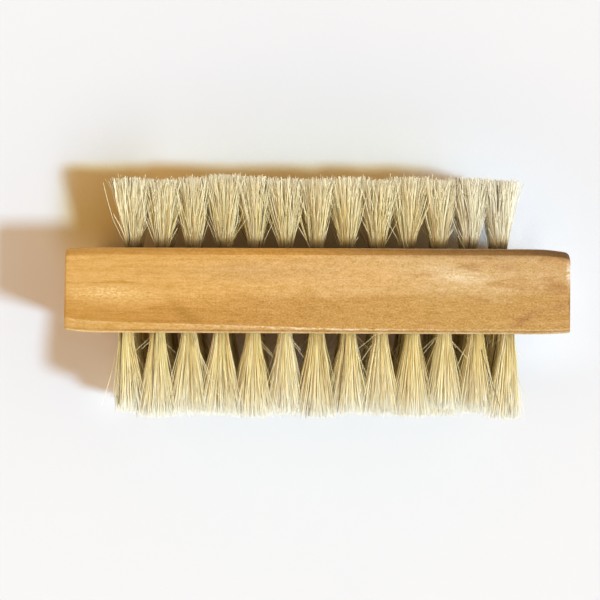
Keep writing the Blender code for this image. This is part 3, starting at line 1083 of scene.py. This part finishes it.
# How the strands of the wide and of the narrow side grow. Leans and fans are slopes, tones run from
# nought, dark, to one, and lengths are in metres.
SIDE_FACTS = {
    "root": (0.93, 0.76),  # a tuft's radius at its root, as a share of the setting
    "fan": (0.18, 0.22),
    "free_fan": (0.35, 0.95),  # share of its outward slope that a strand keeps without a neighbour
    "upright": (0.15, 0.35),  # share of its slope that a strand takes on only towards its tip
    "taper": (0.3, 0.0),  # share of its width that a strand loses towards its tip
    "lean": (0.045, 0.047),
    "clump_lean": (0.03, 0.04),
    "bow": (0.00015, 0.00035),
    "wave": (0.00005, 0.00018),
    "proud": (0.0009, 0.0001),  # how far tips pass the solids', before raggedness takes some off
    "ragged": (0.0019, 0.0008),
    "stray_share": (0.018, 0.075),  # strands that lean on their own
    "wild_share": (0.0025, 0.013),  # short strands that cross their neighbours
    "wild_lean": (1.5, 0.8),
    "tone": (0.66, 0.92),
    "depth_tone": (0.16, 0.10),  # how much darker each row is than the row over it
    "root_tone": (0.19, 0.0),  # where on the map's height a root starts, where low down is dark
    "golden_share": (0.25, 0.2),
    "dark_share": (0.006, 0.012),
}


def side_facts(wide):
    """What a side's bristles are like, and where they grow."""
    facts = {name: at_wide if wide else at_narrow for name, (at_wide, at_narrow) in SIDE_FACTS.items()}
    facts["out"] = -1 if wide else 1
    facts["face"] = BLOCK_LOW.y if wide else BLOCK_HIGH.y
    facts["heights"] = WIDE_HEIGHTS if wide else NARROW_HEIGHTS
    facts["length"] = WIDE_LENGTH if wide else NARROW_LENGTH
    return facts


def grow_side(context, name, side, rows, seed):
    """Adds a side's rows of bristles, each in place of its own nodes."""
    settings = context.scene.vegbrush_bristles
    material = natural_bristle(settings)
    straight = straight_row(settings)
    for row, nodes in enumerate(rows):
        mesh = bristle_row_mesh(settings, straight, side, row, seed + row)
        add_piece(f"{name}_{row + 1}", mesh, material, nodes)


# Operators


class VEGBRUSH_OT_wood_block(Operator):
    """Shape the wooden block, drill its holes and give it its oiled finish"""

    bl_idname = "vegbrush.wood_block"
    bl_label = "Wood Block"
    bl_options = {"REGISTER", "UNDO"}

    def execute(self, context):
        settings = context.scene.vegbrush_block
        shape = add_object("block_shape", wood_block_mesh(settings))
        mesh = drill_holes(shape)
        bpy.data.objects.remove(shape)
        mesh.shade_smooth()
        mesh.set_sharp_from_angle(angle=SHARP_EDGE)
        add_piece("oiled_block", mesh, oiled_wood(settings), [BLOCK_NODE])
        return {"FINISHED"}


class VEGBRUSH_OT_wide_side(Operator):
    """Grow the rows of tufts on the wide side"""

    bl_idname = "vegbrush.wide_side"
    bl_label = "Wide Side Bristles"
    bl_options = {"REGISTER", "UNDO"}

    def execute(self, context):
        rows = [[node] for node in WIDE_ROW_NODES]
        grow_side(context, "wide_bristles", side_facts(wide=True), rows, seed=11)
        return {"FINISHED"}


class VEGBRUSH_OT_narrow_side(Operator):
    """Grow the rows of tufts on the narrow side"""

    bl_idname = "vegbrush.narrow_side"
    bl_label = "Narrow Side Bristles"
    bl_options = {"REGISTER", "UNDO"}

    def execute(self, context):
        grow_side(context, "narrow_bristles", side_facts(wide=False), narrow_rows(), seed=41)
        return {"FINISHED"}


class VEGBRUSH_OT_anchors(Operator):
    """Give the wire anchors in the holes their drawn steel finish"""

    bl_idname = "vegbrush.anchors"
    bl_label = "Wire Anchors"
    bl_options = {"REGISTER", "UNDO"}

    def execute(self, context):
        material = bright_wire()
        for node in ANCHOR_NODES:
            frame["nodes"][node].material_slots[0].material = material
        return {"FINISHED"}


class VEGBRUSH_OT_stage(Operator):
    """Set up the pale floor, the light and the camera"""

    bl_idname = "vegbrush.stage"
    bl_label = "Stage"
    bl_options = {"REGISTER", "UNDO"}

    def execute(self, context):
        settings = context.scene.vegbrush_stage
        add_lights(context, settings, add_floor(settings))
        add_camera(context, settings)
        context.scene.view_settings.view_transform = "Standard"
        return {"FINISHED"}


def add_floor(settings):
    bm = bmesh.new()
    bmesh.ops.create_grid(bm, x_segments=8, y_segments=8, size=1.5)
    bmesh.ops.translate(bm, verts=bm.verts, vec=(0, 0, BLOCK_LOW.z - FLOOR_GAP))
    floor = add_object("floor", mesh_from(bm, "floor"))
    floor.data.materials.append(pale_floor(settings))
    return floor


def add_lights(context, settings, floor):
    """The main light, once each for the block, the bristles and the floor, and the fill.

    A fourth light without shadows stands for the light that shines through the bristles.
    """
    bristles = [piece for piece in bpy.data.objects if "bristles" in piece.name]
    key = add_sun(settings, "key", settings.key_strength, settings.key_tint)
    shine_on(key, [floor, *bristles], "EXCLUDE")
    key = add_sun(settings, "bristle_key", settings.bristle_key_strength, settings.key_tint)
    shine_on(key, bristles)
    key = add_sun(settings, "floor_key", settings.floor_key_strength, settings.floor_key_tint)
    shine_on(key, [floor])
    through = add_sun(settings, "through_light", settings.through_strength, settings.through_tint)
    through.data.use_shadow = False
    through.data.angle = settings.through_spread
    shine_on(through, bristles)
    context.scene.world = soft_fill(settings)


def add_sun(settings, name, energy, tint):
    """A light from the main light's direction."""
    data = bpy.data.lights.new(name, "SUN")
    data.energy = energy
    data.angle = settings.key_spread
    data.color = tint
    height, turn = settings.key_height, settings.key_turn
    across = math.cos(height)
    towards = Vector((across * math.cos(turn), across * math.sin(turn), math.sin(height)))
    sun = add_object(name, data)
    sun.rotation_euler = towards.to_track_quat("Z", "Y").to_euler()
    return sun


def shine_on(sun, pieces, state="INCLUDE"):
    """Makes a light shine on these pieces only, or on all but these."""
    receivers = bpy.data.collections.new(sun.name)
    for piece in pieces:
        receivers.objects.link(piece)
    for member in receivers.collection_objects:
        member.light_linking.link_state = state
    sun.light_linking.receiver_collection = receivers


# How far the block's middle lies from the picture's, in metres at the block's upper side
BLOCK_IN_VIEW = (0.00322, 0.00175)
VIEW_ROLL = math.radians(0.25)


def add_camera(context, settings):
    data = bpy.data.cameras.new("camera")
    data.lens = data.sensor_width * settings.camera_height / settings.view_width
    data.clip_start = 0.01
    camera = add_object("camera", data)
    shift_x, shift_y = BLOCK_IN_VIEW
    camera.location = (-shift_x, -shift_y, BLOCK_HIGH.z + settings.camera_height)
    camera.rotation_euler = (0, 0, VIEW_ROLL)
    context.scene.camera = camera


class VEGBRUSH_PT_panel(Panel):
    """The brush's pieces and settings, in the 3D view's sidebar"""

    bl_idname = "VEGBRUSH_PT_panel"
    bl_label = "Vegetable Brush"
    bl_space_type = "VIEW_3D"
    bl_region_type = "UI"
    bl_category = "Brush"

    def draw(self, context):
        for operator in OPERATORS:
            self.layout.operator(operator.bl_idname)
        for place, group in GROUPS.items():
            box = self.layout.box()
            for name in group.__annotations__:
                box.prop(getattr(context.scene, place), name)


OPERATORS = (
    VEGBRUSH_OT_wood_block,
    VEGBRUSH_OT_wide_side,
    VEGBRUSH_OT_narrow_side,
    VEGBRUSH_OT_anchors,
    VEGBRUSH_OT_stage,
)
GROUPS = {
    "vegbrush_block": BlockSettings,
    "vegbrush_bristles": BristleSettings,
    "vegbrush_stage": StageSettings,
}
CLASSES = (*GROUPS.values(), *OPERATORS, VEGBRUSH_PT_panel)


def label_settings(group):
    """Labels each of a group's settings with its own name, in words."""
    for name, setting in group.__annotations__.items():
        setting.keywords["name"] = name.replace("_", " ").capitalize()


def register():
    for group in GROUPS.values():
        label_settings(group)
    for cls in CLASSES:
        bpy.utils.register_class(cls)
    for place, group in GROUPS.items():
        setattr(bpy.types.Scene, place, PointerProperty(type=group))


def unregister():
    for place in GROUPS:
        delattr(bpy.types.Scene, place)
    for cls in reversed(CLASSES):
        bpy.utils.unregister_class(cls)


def main():
    register()
    bpy.ops.vegbrush.wood_block()
    bpy.ops.vegbrush.wide_side()
    bpy.ops.vegbrush.narrow_side()
    bpy.ops.vegbrush.anchors()
    bpy.ops.vegbrush.stage()


if __name__ == "__main__":
    main()
